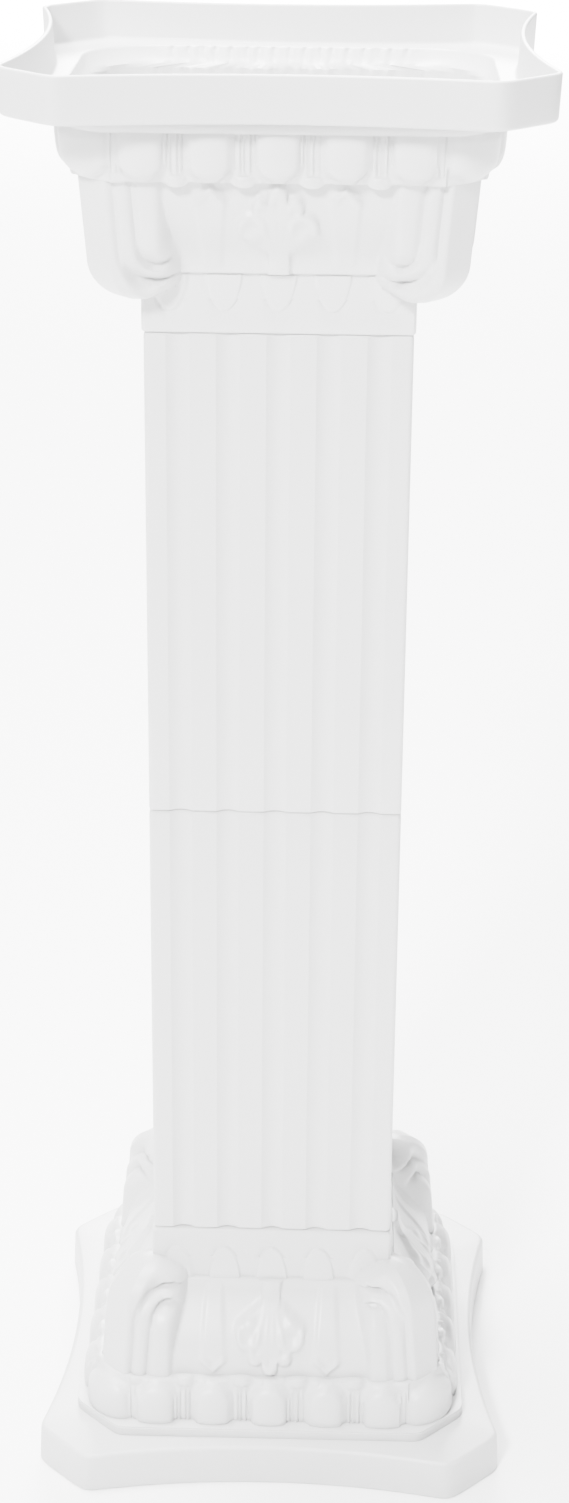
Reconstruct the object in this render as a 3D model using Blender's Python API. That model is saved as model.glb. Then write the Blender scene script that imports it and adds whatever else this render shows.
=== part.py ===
"""Square fluted column stand, moulded in white plastic as four hollow pieces that plug together:
a base, two shaft sections and a capital with an open tray on top. The base is the capital's
moulding turned upside down. Lengths are in metres and +Z is up."""

import math

import bpy

# Walls and fits
WALL = 0.003
SEAT_GAP = 0.0003
PLUG_CLEARANCE = 0.0003
PLUG_LENGTH = 0.020
PLUG_FLANGE = 0.003
PLUG_SLOPE = 0.003
PLUG_CORNER = 0.004

# Shaft sections
SHAFT_HALF = 0.075
SHAFT_LENGTH = 0.290
SHAFT_CORNER = 0.0015
FLUTE_COUNT = 5
FLUTE_PITCH = 0.028
FLUTE_WIDTH = 0.014
FLUTE_DEPTH = 0.003
FLUTE_FLOOR = 0.0065

# Heights of the moulding's courses, from the neck outwards
NECK_HEIGHT = 0.0345
BELL_HEIGHT = 0.055
OVOLO_HEIGHT = 0.0275
BAND_HEIGHT = 0.007
RIM_HEIGHT = 0.026
WEB_OFFSET = 0.010
INSIDE_STATIONS = (0.71, 0.4, 0.1)

# Neck and its row of tongues
NECK_PROUD = 0.001
NECK_EDGE = 0.002
NECK_CORNER = 0.0015
TONGUE_COUNT = 5
TONGUE_PITCH = 0.030
TONGUE_WIDTH = 0.022
TONGUE_LENGTH = 0.0215
TONGUE_FULLNESS = 0.85
TONGUE_RISE = 0.0008
TONGUE_EDGE = 0.0006
NECK_STATION = 0.55

# Bell between the brackets
BELL_LIP = 0.0025
BELL_FLARE = 0.023
BELL_FLARE_HEIGHT = 0.039
BELL_CURVE = 1.5
BELL_DRAFT = 0.003

# Corner brackets
BRACKET_PROJECTION = 0.028
BRACKET_DRAFT = 0.0035
BRACKET_DROP = 0.015
BRACKET_ROUND = 0.0255
BRACKET_CHAMFER = 0.014
BRACKET_FACE = 0.0335
BRACKET_SIDE_SLOPE = 0.005
BRACKET_FOOT_MARGIN = 0.0025
EDGE_STRIP = 0.0035
GROOVE_WIDTH = 0.0045
RIB_WIDTH = 0.0065
TROUGH_WIDTH = 0.014
ROD_WIDTH = 0.006
CARVING_DEPTH = 0.0015
CARVING_FOOT = 0.0035
CARVING_RUN = 0.008

# Palmette and plaques on the bell: each palmette station is (height above the bell's foot, half width)
PALMETTE_RISE = 0.0022
PALMETTE_OUTLINE = (
    (0.0, 0.0078),
    (0.0040, 0.0070),
    (0.0115, 0.0038),
    (0.0245, 0.0205),
    (0.0330, 0.0200),
    (0.0455, 0.0092),
    (0.0540, 0.0016),
)
PALMETTE_EDGE = 0.0008
PLAQUE_OFFSET = 0.0363
PLAQUE_RISE = 0.0016
PLAQUE_EDGE = 0.0006
PLAQUE_FOOT = 0.0035
PLAQUE_EAVES = 0.0455
PLAQUE_APEX = 0.0540
PLAQUE_FOOT_HALF = 0.0058
PLAQUE_EAVES_HALF = 0.0088

# Egg and dart
EGG_COUNT = 5
EGG_PITCH = 0.036
EGG_HALF = 0.0110
EGG_SHOULDER = 0.0075
EGG_BULGE = 0.0048
SHOULDER_SHARE = 0.72
EGG_SWELL_SHARE = 0.45
EGG_BOTTOM_SHARE = 0.45
EGG_TAPER = 0.4
DART_RISE = 0.0025
DART_SWELL_SHARE = 0.3
OVOLO_SETBACK = 0.0005
OVOLO_PROJECTION = 0.0165
OVOLO_STATIONS = (0.0, 0.20, 0.55, 1.0)
OVOLO_INSIDE = 0.4
CORNER_DART = 0.0130
CORNER_VALLEY = 0.0035

# Band and rim
BAND_PROUD = 0.0015
BAND_CHAMFER = 0.028
RIM_OVERHANG = 0.023
RIM_CLIP = 0.0325
RIM_SAG = 0.0135
RIM_DRAFT = 0.001
RIM_EDGE = 0.002
RIM_STATIONS = (0.0, 0.35, 0.68, 1.0)

# Worked out from the sizes above
NECK_HALF = SHAFT_HALF + NECK_PROUD
BRACKET_HALF = NECK_HALF + BRACKET_PROJECTION
BRACKET_INNER = BRACKET_HALF - BRACKET_CHAMFER - BRACKET_FACE
BELL_FOOT_HALF = NECK_HALF + BELL_LIP
INSIDE_SIDE = BRACKET_INNER + WALL
OVOLO_FOOT_HALF = BRACKET_HALF + BRACKET_DRAFT - OVOLO_SETBACK
BAND_HALF = OVOLO_FOOT_HALF + OVOLO_PROJECTION - OVOLO_SETBACK + BAND_PROUD
RIM_HALF = BAND_HALF + RIM_OVERHANG
BELL_TOP = NECK_HEIGHT + BELL_HEIGHT
OVOLO_TOP = BELL_TOP + OVOLO_HEIGHT
BAND_TOP = OVOLO_TOP + BAND_HEIGHT
MOULDING_HEIGHT = BAND_TOP + RIM_HEIGHT
TUBE_INNER_HALF = SHAFT_HALF - FLUTE_DEPTH - WALL
PLUG_HALF = TUBE_INNER_HALF - PLUG_CLEARANCE
INSIDE_CHAMFER = (2 - math.sqrt(2)) * WALL
STEP = 0.0005
LEAST_STEP = 0.0003


def clear_scene():
    for obj in list(bpy.data.objects):
        bpy.data.objects.remove(obj, do_unlink=True)


def corner(half, chamfer):
    """The last two points of an eighth of a chamfered square: where the chamfer starts, and its middle."""
    middle = half - chamfer / 2
    return [(half - chamfer, half), (middle, middle)]


def plain_square(half, chamfer):
    return [(0.0, half)] + corner(half, chamfer)


def whole_ring(eighth, z):
    """One closed loop, counter-clockwise from above, from (along the side, out from the axis) points that run
    from a side's middle to the corner's diagonal."""
    points = []
    for side in range(4):
        cos, sin = (1, 0, -1, 0)[side], (0, 1, 0, -1)[side]
        half_side = [(-x, -out) for x, out in eighth[:0:-1]] + [(x, -out) for x, out in eighth[:-1]]
        points += [(x * cos - y * sin, x * sin + y * cos, z) for x, y in half_side]
    return points


def ring_places(eighth):
    """Where each point of whole_ring lies along the loop, so that loops with unlike counts can be joined."""
    end = eighth[-1][0]
    half_side = [-x / end for x, _ in eighth[:0:-1]] + [x / end for x, _ in eighth[:-1]]
    return [2 * side + place for side in range(4) for place in half_side]


def joined(first, first_places, second, second_places):
    """Faces between two loops of vertex numbers."""
    count = len(first)
    if count == len(second):
        return [
            (first[k], first[(k + 1) % count], second[(k + 1) % count], second[k]) for k in range(count)
        ]
    faces = []
    i = j = 0
    lap = 8.0
    while i < len(first) or j < len(second):
        next_first = first_places[i + 1] if i + 1 < len(first) else first_places[0] + lap
        next_second = second_places[j + 1] if j + 1 < len(second) else second_places[0] + lap
        a, b = first[i % len(first)], second[j % len(second)]
        if j >= len(second) or (i < len(first) and next_first <= next_second):
            faces.append((a, first[(i + 1) % len(first)], b))
            i += 1
        else:
            faces.append((a, second[(j + 1) % len(second)], b))
            j += 1
    return faces


def lofted(name, sections, material, capped):
    """A closed object through (eighth, height) sections. With capped, its first and last loops are filled;
    without, the last joins the first."""
    vertices, faces, loops = [], [], []
    for eighth, z in sections:
        loop = list(range(len(vertices), len(vertices) + 8 * (len(eighth) - 1)))
        vertices += whole_ring(eighth, z)
        loops.append((loop, ring_places(eighth)))
    followers = loops[1:] if capped else loops[1:] + loops[:1]
    for (first, first_places), (second, second_places) in zip(loops, followers):
        faces += joined(first, first_places, second, second_places)
    if capped:
        faces += [tuple(reversed(loops[0][0])), tuple(loops[-1][0])]
    mesh = bpy.data.meshes.new(name)
    mesh.from_pydata(vertices, [], faces)
    mesh.validate()
    mesh.materials.append(material)
    mesh.shade_smooth()
    mesh.set_sharp_from_angle(angle=math.radians(30))
    obj = bpy.data.objects.new(name, mesh)
    bpy.context.scene.collection.objects.link(obj)
    return obj


def plastic(name, shade, roughness):
    material = bpy.data.materials.new(name)
    material.use_nodes = True
    shader = material.node_tree.nodes["Principled BSDF"]
    shader.inputs["Base Color"].default_value = (shade, shade, shade, 1.0)
    shader.inputs["Roughness"].default_value = roughness
    shader.inputs["Metallic"].default_value = 0.0
    return material


def fluted_eighth(half):
    """A shaft face with its flutes as shallow channels with sloping sides."""
    points = []
    for flute in range(FLUTE_COUNT):
        centre = (flute - (FLUTE_COUNT - 1) / 2) * FLUTE_PITCH
        points += [
            (centre - FLUTE_WIDTH / 2, half),
            (centre - FLUTE_FLOOR / 2, half - FLUTE_DEPTH),
            (centre + FLUTE_FLOOR / 2, half - FLUTE_DEPTH),
            (centre + FLUTE_WIDTH / 2, half),
        ]
    right_half = [point for point in points if point[0] > 0]
    right_half.insert(0, (0.0, half - FLUTE_DEPTH if FLUTE_COUNT % 2 else half))
    return right_half + corner(half, SHAFT_CORNER)


def square_like(eighth, half, chamfer):
    """A chamfered square with as many points as another eighth, at the same places along the side."""
    return [(x, half) for x, _ in eighth[:-2]] + corner(half, chamfer)


def plug_sections(z, direction, like):
    """A hollow plug that starts at height z and runs out along direction, +1 or -1: its outside, then its inside.
    Its loops have the points of the loop that it grows from."""
    outside = square_like(like, PLUG_HALF, PLUG_CORNER)
    inside = square_like(like, PLUG_HALF - WALL, PLUG_CORNER - INSIDE_CHAMFER)
    end = z + direction * PLUG_LENGTH
    return [(outside, z), (outside, end)], [(inside, end), (inside, z - direction * PLUG_FLANGE)]


def shaft_section(name, material, with_plug):
    """A fluted tube, open at both ends. With with_plug, a plug at its top enters the section above."""
    outer = fluted_eighth(SHAFT_HALF)
    inner = fluted_eighth(SHAFT_HALF - WALL)
    sections = [(inner, 0.0), (outer, 0.0), (outer, SHAFT_LENGTH)]
    if with_plug:
        plug_outside, plug_inside = plug_sections(SHAFT_LENGTH, 1, outer)
        sections += plug_outside + plug_inside
        sections.append((inner, SHAFT_LENGTH - PLUG_FLANGE - PLUG_SLOPE))
    else:
        sections.append((inner, SHAFT_LENGTH))
    return lofted(name, sections, material, capped=False)


def tongue_half(h):
    """Half the width of a tongue at height h: a rounded U that hangs from the neck's top line."""
    reach = min(max((NECK_HEIGHT - h) / TONGUE_LENGTH, 0.0), 1.0)
    return TONGUE_WIDTH / 2 * (1 - reach * reach) ** TONGUE_FULLNESS


def bracket_growth(h):
    """0 where a bracket leaves the neck, 1 at its full depth: a quarter of an ellipse."""
    start = NECK_HEIGHT - BRACKET_DROP
    reach = min(max((h - start) / BRACKET_ROUND, 0.0), 1.0)
    return math.sqrt(1 - (1 - reach) ** 2)


def bracket_half(h):
    rounded_top = NECK_HEIGHT - BRACKET_DROP + BRACKET_ROUND
    drafted = max(h - rounded_top, 0.0) / (BELL_TOP - rounded_top)
    return NECK_HALF + BRACKET_PROJECTION * bracket_growth(h) + BRACKET_DRAFT * drafted


def bracket_chamfer(h):
    return NECK_CORNER + (BRACKET_CHAMFER - NECK_CORNER) * bracket_growth(h)


def bracket_inner_edge(h):
    """How near the side's middle a bracket reaches: its foot curves back to the neck's corner."""
    reach = min(max((NECK_HEIGHT - h) / BRACKET_DROP, 0.0), 1.0)
    outermost = NECK_HALF - NECK_CORNER - BRACKET_FOOT_MARGIN
    return BRACKET_INNER + (outermost - BRACKET_INNER) * reach * reach


def bell_half(h):
    above = h - NECK_HEIGHT
    flared = min(max(above / BELL_FLARE_HEIGHT, 0.0), 1.0) ** BELL_CURVE
    drafted = max(above - BELL_FLARE_HEIGHT, 0.0) / (BELL_HEIGHT - BELL_FLARE_HEIGHT)
    return BELL_FOOT_HALF + BELL_FLARE * flared + BELL_DRAFT * drafted


def neck_eighth(h):
    """The neck with its raised tongues, and the feet of the brackets at its corners."""
    half = tongue_half(h)
    rise = TONGUE_RISE if half > TONGUE_EDGE else 0.0
    half = max(half, 2 * TONGUE_EDGE)
    edge = bracket_inner_edge(h)
    points = [(0.0, NECK_HALF + rise)]
    for tongue in range((TONGUE_COUNT + 1) // 2):
        centre = tongue * TONGUE_PITCH
        if tongue:
            points += [
                (centre - half - TONGUE_EDGE, NECK_HALF),
                (centre - half + TONGUE_EDGE, NECK_HALF + rise),
            ]
        points += [
            (centre + half - TONGUE_EDGE, NECK_HALF + rise),
            (centre + half + TONGUE_EDGE, NECK_HALF),
        ]
    count = len(points)
    points = [(min(x, edge - (count - k) * LEAST_STEP), out) for k, (x, out) in enumerate(points)]
    outer, chamfer = bracket_half(h), bracket_chamfer(h)
    side = min(BRACKET_SIDE_SLOPE * bracket_growth(h), (outer - chamfer - edge) / 2)
    return points + [(edge, NECK_HALF), (edge + side, outer)] + corner(outer, chamfer)


def outline_at(outline, height):
    """The half width that an outline of (height, half width) stations has at a height."""
    for (low, low_half), (high, high_half) in zip(outline, outline[1:]):
        if height <= high:
            share = (height - low) / (high - low)
            return low_half + (high_half - low_half) * share
    return outline[-1][1]


def plaque_half(above):
    share = (above - PLAQUE_FOOT) / (PLAQUE_EAVES - PLAQUE_FOOT)
    if share <= 1:
        return PLAQUE_FOOT_HALF + (PLAQUE_EAVES_HALF - PLAQUE_FOOT_HALF) * max(share, 0.0)
    gable = (PLAQUE_APEX - above) / (PLAQUE_APEX - PLAQUE_EAVES)
    return PLAQUE_EAVES_HALF * max(gable, 0.0)


def bell_eighth(h):
    """The bell with half a palmette and one plaque, then a corner bracket with its carved face."""
    above = h - NECK_HEIGHT
    bell, outer = bell_half(h), bracket_half(h)
    palm = max(outline_at(PALMETTE_OUTLINE, above), 2 * PALMETTE_EDGE)
    palm_rise = PALMETTE_RISE if above <= PALMETTE_OUTLINE[-1][0] else 0.0
    plaque = plaque_half(above)
    plaque_rise = PLAQUE_RISE if PLAQUE_FOOT < above and plaque > 0 else 0.0
    plaque = max(plaque, 2 * PLAQUE_EDGE)
    points = [
        (0.0, bell + palm_rise),
        (palm - PALMETTE_EDGE, bell + palm_rise),
        (palm + PALMETTE_EDGE, bell),
        (PLAQUE_OFFSET - plaque - PLAQUE_EDGE, bell),
        (PLAQUE_OFFSET - plaque + PLAQUE_EDGE, bell + plaque_rise),
        (PLAQUE_OFFSET + plaque - PLAQUE_EDGE, bell + plaque_rise),
        (PLAQUE_OFFSET + plaque + PLAQUE_EDGE, bell),
        (BRACKET_INNER - BRACKET_SIDE_SLOPE, bell),
    ]
    carved = CARVING_DEPTH * min(max((above - CARVING_FOOT) / CARVING_RUN, 0.0), 1.0)
    chamfer = bracket_chamfer(h)
    chamfer_start = outer - chamfer
    groove = chamfer_start - EDGE_STRIP
    rib = groove - GROOVE_WIDTH
    trough = rib - RIB_WIDTH
    rod = trough - TROUGH_WIDTH / 2
    points += [
        (BRACKET_INNER, outer - CARVING_DEPTH / 2),
        (trough - TROUGH_WIDTH, outer),
        (rod - ROD_WIDTH / 2, outer - carved),
        (rod, outer),
        (rod + ROD_WIDTH / 2, outer - carved),
        (trough, outer),
        (rib, outer),
        (groove - GROOVE_WIDTH / 2, outer - carved),
        (groove, outer),
    ]
    return points + corner(outer, chamfer)


def ovolo_half(share):
    """The crests of the egg course, from its foot (0) to its top (1): a quarter round."""
    return OVOLO_FOOT_HALF + (OVOLO_PROJECTION - OVOLO_SETBACK) * math.sin(share * math.pi / 2)


def egg_swell(share):
    """How far an egg has swollen out of its valley: from 0 at its tip to 1."""
    return math.sqrt(1 - (1 - min(share / EGG_SWELL_SHARE, 1.0)) ** 2)


def valley_half(share):
    return ovolo_half(share) - EGG_BULGE * egg_swell(share) * (1 - share * EGG_TAPER)


def egg_eighth(share):
    """Eggs and darts along half a side, and half of the large egg that wraps the corner."""
    valley, swell = valley_half(share), egg_swell(share)
    egg = ovolo_half(share) - (0.0 if share else STEP)
    shoulder = valley + (egg - valley) * SHOULDER_SHARE
    dart = valley + DART_RISE * min(share / DART_SWELL_SHARE, 1.0)
    half = EGG_HALF * (EGG_BOTTOM_SHARE + (1 - EGG_BOTTOM_SHARE) * swell)
    narrow = EGG_SHOULDER * half / EGG_HALF
    points = [(0.0, egg)]
    for number in range((EGG_COUNT + 1) // 2):
        centre = number * EGG_PITCH
        last = number == (EGG_COUNT - 1) // 2
        if number:
            points += [(centre - half, valley), (centre - narrow, shoulder), (centre, egg)]
        points += [(centre + narrow, shoulder), (centre + half, valley)]
        points.append((centre + (CORNER_DART if last else EGG_PITCH / 2), dart))
    corner_valley = points[-1][0] + CORNER_VALLEY
    chamfer = BRACKET_CHAMFER + (BAND_CHAMFER - BRACKET_CHAMFER) * share
    start = max(egg - chamfer, corner_valley + 2 * STEP)
    middle = egg - chamfer / 2
    return points + [(corner_valley, valley), (start, egg), (middle, middle)]


def band_eighth(half, chamfer):
    start = half - chamfer
    points = [(start * station, half) for station in RIM_STATIONS]
    return points + [corner(half, chamfer)[1]]


def rim_eighth(inset):
    """The rim's plan: four hollow-curved sides and four clipped corners, drawn in by inset."""
    half = RIM_HALF - inset
    clip = RIM_CLIP - inset * (2 - math.sqrt(2))
    start = half - clip
    points = [(start * s, half - RIM_SAG * (1 - s * s)) for s in RIM_STATIONS]
    return points + [corner(half, clip)[1]]


def inner_eighth(h):
    """The inside of the neck and bell, one wall behind the outside, with a pocket behind each bracket."""
    bell = bell_half(h) - WALL
    outer = bracket_half(h) - WALL - CARVING_DEPTH
    pocket = max(outer, bell)
    points = [(0.0, bell), (INSIDE_SIDE - BRACKET_SIDE_SLOPE, bell), (INSIDE_SIDE + CARVING_DEPTH, pocket)]
    return points + corner(pocket, bracket_chamfer(h) + INSIDE_CHAMFER)


def neck_inner_eighth():
    """The inside of the neck, with points where the pockets start above it."""
    half = NECK_HALF - WALL
    points = [(0.0, half), (INSIDE_SIDE - BRACKET_SIDE_SLOPE, half), (INSIDE_SIDE + CARVING_DEPTH, half)]
    return points + corner(half, NECK_CORNER)


def moulding_sections():
    """Every loop of the moulding, from under its web, round its plug, up its outside and down its inside."""
    neck_inner = neck_inner_eighth()
    neck_end = square_like(neck_inner, NECK_HALF - NECK_EDGE, NECK_CORNER)
    plug_outside, plug_inside = plug_sections(0.0, -1, neck_inner)
    sections = [(neck_inner, WEB_OFFSET), (neck_inner, PLUG_FLANGE + PLUG_SLOPE)]
    sections += [(eighth, z) for eighth, z in reversed(plug_inside)]
    sections += [(eighth, z) for eighth, z in reversed(plug_outside)]
    sections += [(neck_end, 0.0), (square_like(neck_inner, NECK_HALF, NECK_CORNER), NECK_EDGE)]

    tongue_tip = NECK_HEIGHT - TONGUE_LENGTH
    bracket_foot = NECK_HEIGHT - BRACKET_DROP
    heights = [tongue_tip, (tongue_tip + bracket_foot) / 2, bracket_foot]
    heights += [bracket_foot + BRACKET_DROP * NECK_STATION, NECK_HEIGHT]
    sections += [(neck_eighth(h), h) for h in heights]

    for above, _ in PALMETTE_OUTLINE:
        sections.append((bell_eighth(NECK_HEIGHT + above), NECK_HEIGHT + max(above, STEP)))

    for share in OVOLO_STATIONS:
        sections.append((egg_eighth(share), BELL_TOP + OVOLO_HEIGHT * share))
    band = band_eighth(BAND_HALF, BAND_CHAMFER)
    sections += [(band, OVOLO_TOP + STEP), (band, BAND_TOP)]

    top = MOULDING_HEIGHT
    sections += [
        (rim_eighth(RIM_DRAFT + RIM_EDGE), BAND_TOP),
        (rim_eighth(RIM_DRAFT), BAND_TOP + RIM_EDGE),
        (rim_eighth(0.0), top),
        (rim_eighth(WALL), top),
        (rim_eighth(WALL + RIM_DRAFT), BAND_TOP + WALL),
        (band_eighth(BAND_HALF - WALL, BAND_CHAMFER), BAND_TOP + WALL),
        (band_eighth(valley_half(1.0) - WALL, BAND_CHAMFER), OVOLO_TOP),
        (plain_square(valley_half(OVOLO_INSIDE) - WALL, BAND_CHAMFER), BELL_TOP + OVOLO_HEIGHT * OVOLO_INSIDE),
        (inner_eighth(BELL_TOP), BELL_TOP),
    ]
    inside_heights = [NECK_HEIGHT + BELL_HEIGHT * station for station in INSIDE_STATIONS]
    sections += [(inner_eighth(h), h) for h in inside_heights]
    sections += [(neck_inner, NECK_HEIGHT - WALL), (neck_inner, WEB_OFFSET + WALL)]
    return sections


def main():
    clear_scene()
    stand = bpy.data.objects.new("column_stand", None)
    bpy.context.scene.collection.objects.link(stand)

    base = lofted("base", moulding_sections(), plastic("base_plastic", 0.78, 0.42), capped=True)
    base.rotation_euler = (math.pi, 0.0, 0.0)
    base.location.z = MOULDING_HEIGHT
    lower_shaft = shaft_section("lower_shaft", plastic("lower_shaft_plastic", 0.80, 0.40), with_plug=True)
    lower_shaft.location.z = MOULDING_HEIGHT + SEAT_GAP
    upper_shaft = shaft_section("upper_shaft", plastic("upper_shaft_plastic", 0.81, 0.40), with_plug=False)
    upper_shaft.location.z = lower_shaft.location.z + SHAFT_LENGTH + SEAT_GAP
    capital = lofted("capital", moulding_sections(), plastic("capital_plastic", 0.82, 0.38), capped=True)
    capital.location.z = upper_shaft.location.z + SHAFT_LENGTH + SEAT_GAP
    for piece in (base, lower_shaft, upper_shaft, capital):
        piece.parent = stand


if __name__ == "__main__":
    main()
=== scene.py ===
import math

import bpy
import numpy as np
from bpy.props import FloatProperty, FloatVectorProperty, IntProperty, PointerProperty
from mathutils import Matrix, Vector


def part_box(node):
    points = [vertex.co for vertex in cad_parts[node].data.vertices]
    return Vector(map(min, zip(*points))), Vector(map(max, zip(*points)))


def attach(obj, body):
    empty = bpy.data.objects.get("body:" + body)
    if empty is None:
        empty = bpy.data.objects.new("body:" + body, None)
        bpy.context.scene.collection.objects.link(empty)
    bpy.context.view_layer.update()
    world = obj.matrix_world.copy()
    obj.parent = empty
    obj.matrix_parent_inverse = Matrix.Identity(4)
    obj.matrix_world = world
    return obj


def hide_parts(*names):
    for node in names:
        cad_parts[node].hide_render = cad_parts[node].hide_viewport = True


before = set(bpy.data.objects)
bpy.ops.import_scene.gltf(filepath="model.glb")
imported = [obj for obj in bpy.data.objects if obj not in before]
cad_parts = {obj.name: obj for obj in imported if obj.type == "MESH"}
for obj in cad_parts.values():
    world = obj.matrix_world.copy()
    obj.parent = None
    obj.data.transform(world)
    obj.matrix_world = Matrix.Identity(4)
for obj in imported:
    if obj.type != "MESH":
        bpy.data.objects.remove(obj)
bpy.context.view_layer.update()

bl_info = {
    "name": "Column Vase Stand",
    "version": (1, 0, 0),
    "blender": (4, 5, 0),
    "location": "View3D > Sidebar > Column Stand",
    "description": "Square fluted column with an egg-and-dart capital, moulded in white plastic",
    "category": "Add Mesh",
}

MM = 0.001
FACE_COLUMNS = 80
CORNER_COLUMNS = 9
FACE_SHARES = np.linspace(0, 1, FACE_COLUMNS + 1)
CORNER_SHARES = np.linspace(0, 1, CORNER_COLUMNS + 1)[1:]


def length(name, description, default):
    """A length in metres."""
    return FloatProperty(name=name, description=description, default=default, unit="LENGTH", precision=4)


def factor(name, description, default):
    """A number between 0 and 1."""
    return FloatProperty(name=name, description=description, default=default, subtype="FACTOR", min=0.0, max=1.0)


def angle(name, description, degrees):
    """An angle, given in degrees and kept in radians."""
    return FloatProperty(name=name, description=description, default=math.radians(degrees), subtype="ANGLE")


def power(name, description, default):
    """The power of a light in watts."""
    return FloatProperty(name=name, description=description, default=default, unit="POWER", min=0.0)


def tint(name, description, default):
    """A linear colour."""
    return FloatVectorProperty(name=name, description=description, default=default, subtype="COLOR", size=3)


# Sizes and colours


class ShaftSizes(bpy.types.PropertyGroup):
    half: length("Half width", "From the column's axis to a shaft face", 0.075)
    wall: length("Wall", "Thickness of the moulded wall", 0.003)
    edge: length("End rounding", "Radius of the rounded ends", 0.002)
    corner: length("Corner rounding", "Radius of the four upright edges", 0.0025)
    flute_pitch: length("Flute pitch", "From one flute to the next", 0.028)
    flute_width: length("Flute width", "Width of a flute across its mouth", 0.0135)
    flute_depth: length("Flute depth", "Depth of a flute at its middle", 0.0024)
    flutes: IntProperty(name="Flutes", description="Flutes on each face", default=5, min=1)
    play: length("Play", "Gap between a plug and the tube round it", 0.0003)
    plug: length("Plug length", "How far a section's plug enters the next piece", 0.020)


class MouldingSizes(bpy.types.PropertyGroup):
    wall: length("Wall", "Thickness of the moulded wall", 0.003)
    neck_half: length("Neck half width", "From the axis to the neck's plain face", 0.076)
    neck_height: length("Neck height", "Height of the neck with its tongues", 0.0345)
    bell_height: length("Bell height", "Height of the bell between the brackets", 0.055)
    eggs_height: length("Egg course height", "Height of the egg-and-dart course", 0.0275)
    band_height: length("Band height", "Height of the plain band under the rim", 0.007)
    rim_height: length("Rim height", "Height of the tray's rim", 0.026)
    neck_chamfer: length("Neck corner", "Width of the neck's cut corner", 0.0015)
    neck_edge: length("Neck edge", "Rounding of the neck's end", 0.002)
    lip: length("Bell lip", "How far the bell's foot stands over the neck", 0.0034)
    flare: length("Bell flare", "How far the bell swells out towards the eggs", 0.0262)
    flare_reach: length("Flare reach", "Height over which the bell swells", 0.027)
    base_shadow: factor("Base gaps", "Share of the shadow gaps' depth that the base has", 0.15)
    web: length("Web", "Height of the floor's underside above the neck's end", 0.010)


class TongueSizes(bpy.types.PropertyGroup):
    pitch: length("Pitch", "From one tongue to the next", 0.030)
    half: length("Half width", "Half the width of a tongue at its top", 0.0101)
    drop: length("Length", "From the top line down to the tip", 0.0218)
    rise: length("Rise at the tip", "How far a tongue stands out at its tip", 0.0004)
    swell: length("Swell", "How much further it stands out at its top", 0.0018)
    groove: length("Groove", "Depth of the fine groove round its outline", 0.0008)
    groove_width: length("Groove width", "Half width of that groove", 0.0009)
    groove_offset: length("Groove offset", "From the outline out to the groove's middle", 0.0005)
    edge: length("Edge", "Width of a tongue's rounded edge", 0.0014)
    undercut: length("Undercut", "Depth of the narrow shadow gap under the bell's lip", 0.0014)


class BracketSizes(bpy.types.PropertyGroup):
    projection: length("Projection", "How far a bracket stands out from the neck", 0.028)
    draft: length("Draft", "How much further it stands out at its top", 0.0035)
    drop: length("Drop", "How far its foot hangs below the neck's top line", 0.015)
    round: length("Rounding", "Height of its quarter-round underside", 0.0255)
    chamfer: length("Chamfer", "Width of the cut corner", 0.014)
    face: length("Face width", "Width of the carved face", 0.024)
    side: length("Side slope", "How far the inner wall leans back to the bell", 0.0135)
    least_slope: length("Least slope", "Width of the inner wall's slope at its foot", 0.0004)
    foot_inset: length("Foot inset", "How far inside the neck's corner the foot begins", 0.004)
    carving: length("Carving depth", "Depth of the grooves of the face", 0.0014)
    carving_foot: length("Carving centre", "Height of the centre of the nested Us", 0.050)
    carving_line: length("Carving line", "From the cut corner to the centre line of the Us", 0.0245)
    recess: length("Recess", "How far the recess between the outer Us stands out from the neck", 0.007)
    recess_foot: length("Recess foot", "Height at which the recess leaves the neck", 0.0195)
    recess_height: length("Recess height", "Height over which it swells", 0.0125)
    recess_share: factor("Recess share", "Share of the recess's full depth that is cut", 0.35)


class BellOrnamentSizes(bpy.types.PropertyGroup):
    palmette: length("Palmette rise", "How far the palmette stands out", 0.0038)
    plaque: length("Plaque rise", "How far a plaque stands out", 0.0014)
    plaque_offset: length("Plaque offset", "From a side's middle to a plaque's middle", 0.0363)
    plaque_foot: length("Plaque foot", "Half width of a plaque at its foot", 0.0058)
    plaque_eaves: length("Plaque eaves", "Half width of a plaque at its eaves", 0.0088)
    plaque_edge: length("Plaque edge", "Width of a plaque's rounded edge", 0.0017)
    foot_level: length("Foot level", "Height of a plaque's foot over the bell's", 0.0035)
    eaves_level: length("Eaves level", "Height of its eaves over the bell's foot", 0.045)
    apex_level: length("Apex level", "Height of its apex over the bell's foot", 0.0532)
    gable_roll: length("Gable roll", "Radius of the roll along a plaque's gable", 0.0018)
    gable_rise: length("Gable rise", "How far that roll stands out", 0.0023)


class EggSizes(bpy.types.PropertyGroup):
    pitch: length("Pitch", "From one egg to the next", 0.036)
    half: length("Half width", "Half the width of an egg", 0.0114)
    bulge: length("Bulge", "How far an egg stands out of its ground", 0.0068)
    husk: length("Husk", "How far an egg's husk stands out of the ground", 0.0028)
    foot_half: length("Foot", "From the axis to the eggs' tips", 0.107)
    projection: length("Projection", "How far the course leans out", 0.0150)
    tuck: length("Tuck", "How far the course draws in under the band", 0.0012)
    rib: length("Dart rib", "Height of the three fine ribs of a dart", 0.0022)
    rib_width: length("Dart rib width", "Half width of a rib", 0.0009)
    rib_pitch: length("Dart rib pitch", "From one rib to the next", 0.0028)
    overhang: length("Overhang", "How far the course's foot stands out over the bell", 0.0012)
    tip: length("Dart tip", "Height of the small flared tip of a dart", 0.0026)
    curl: length("Curl", "How far a dart's tip hangs down over the bell", 0.0026)
    corner_centre: length("Corner centre", "Centre of the round that the corner egg follows", 0.080)
    corner_start: length("Corner start", "Where the corner egg begins along a side", 0.0885)


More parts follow.
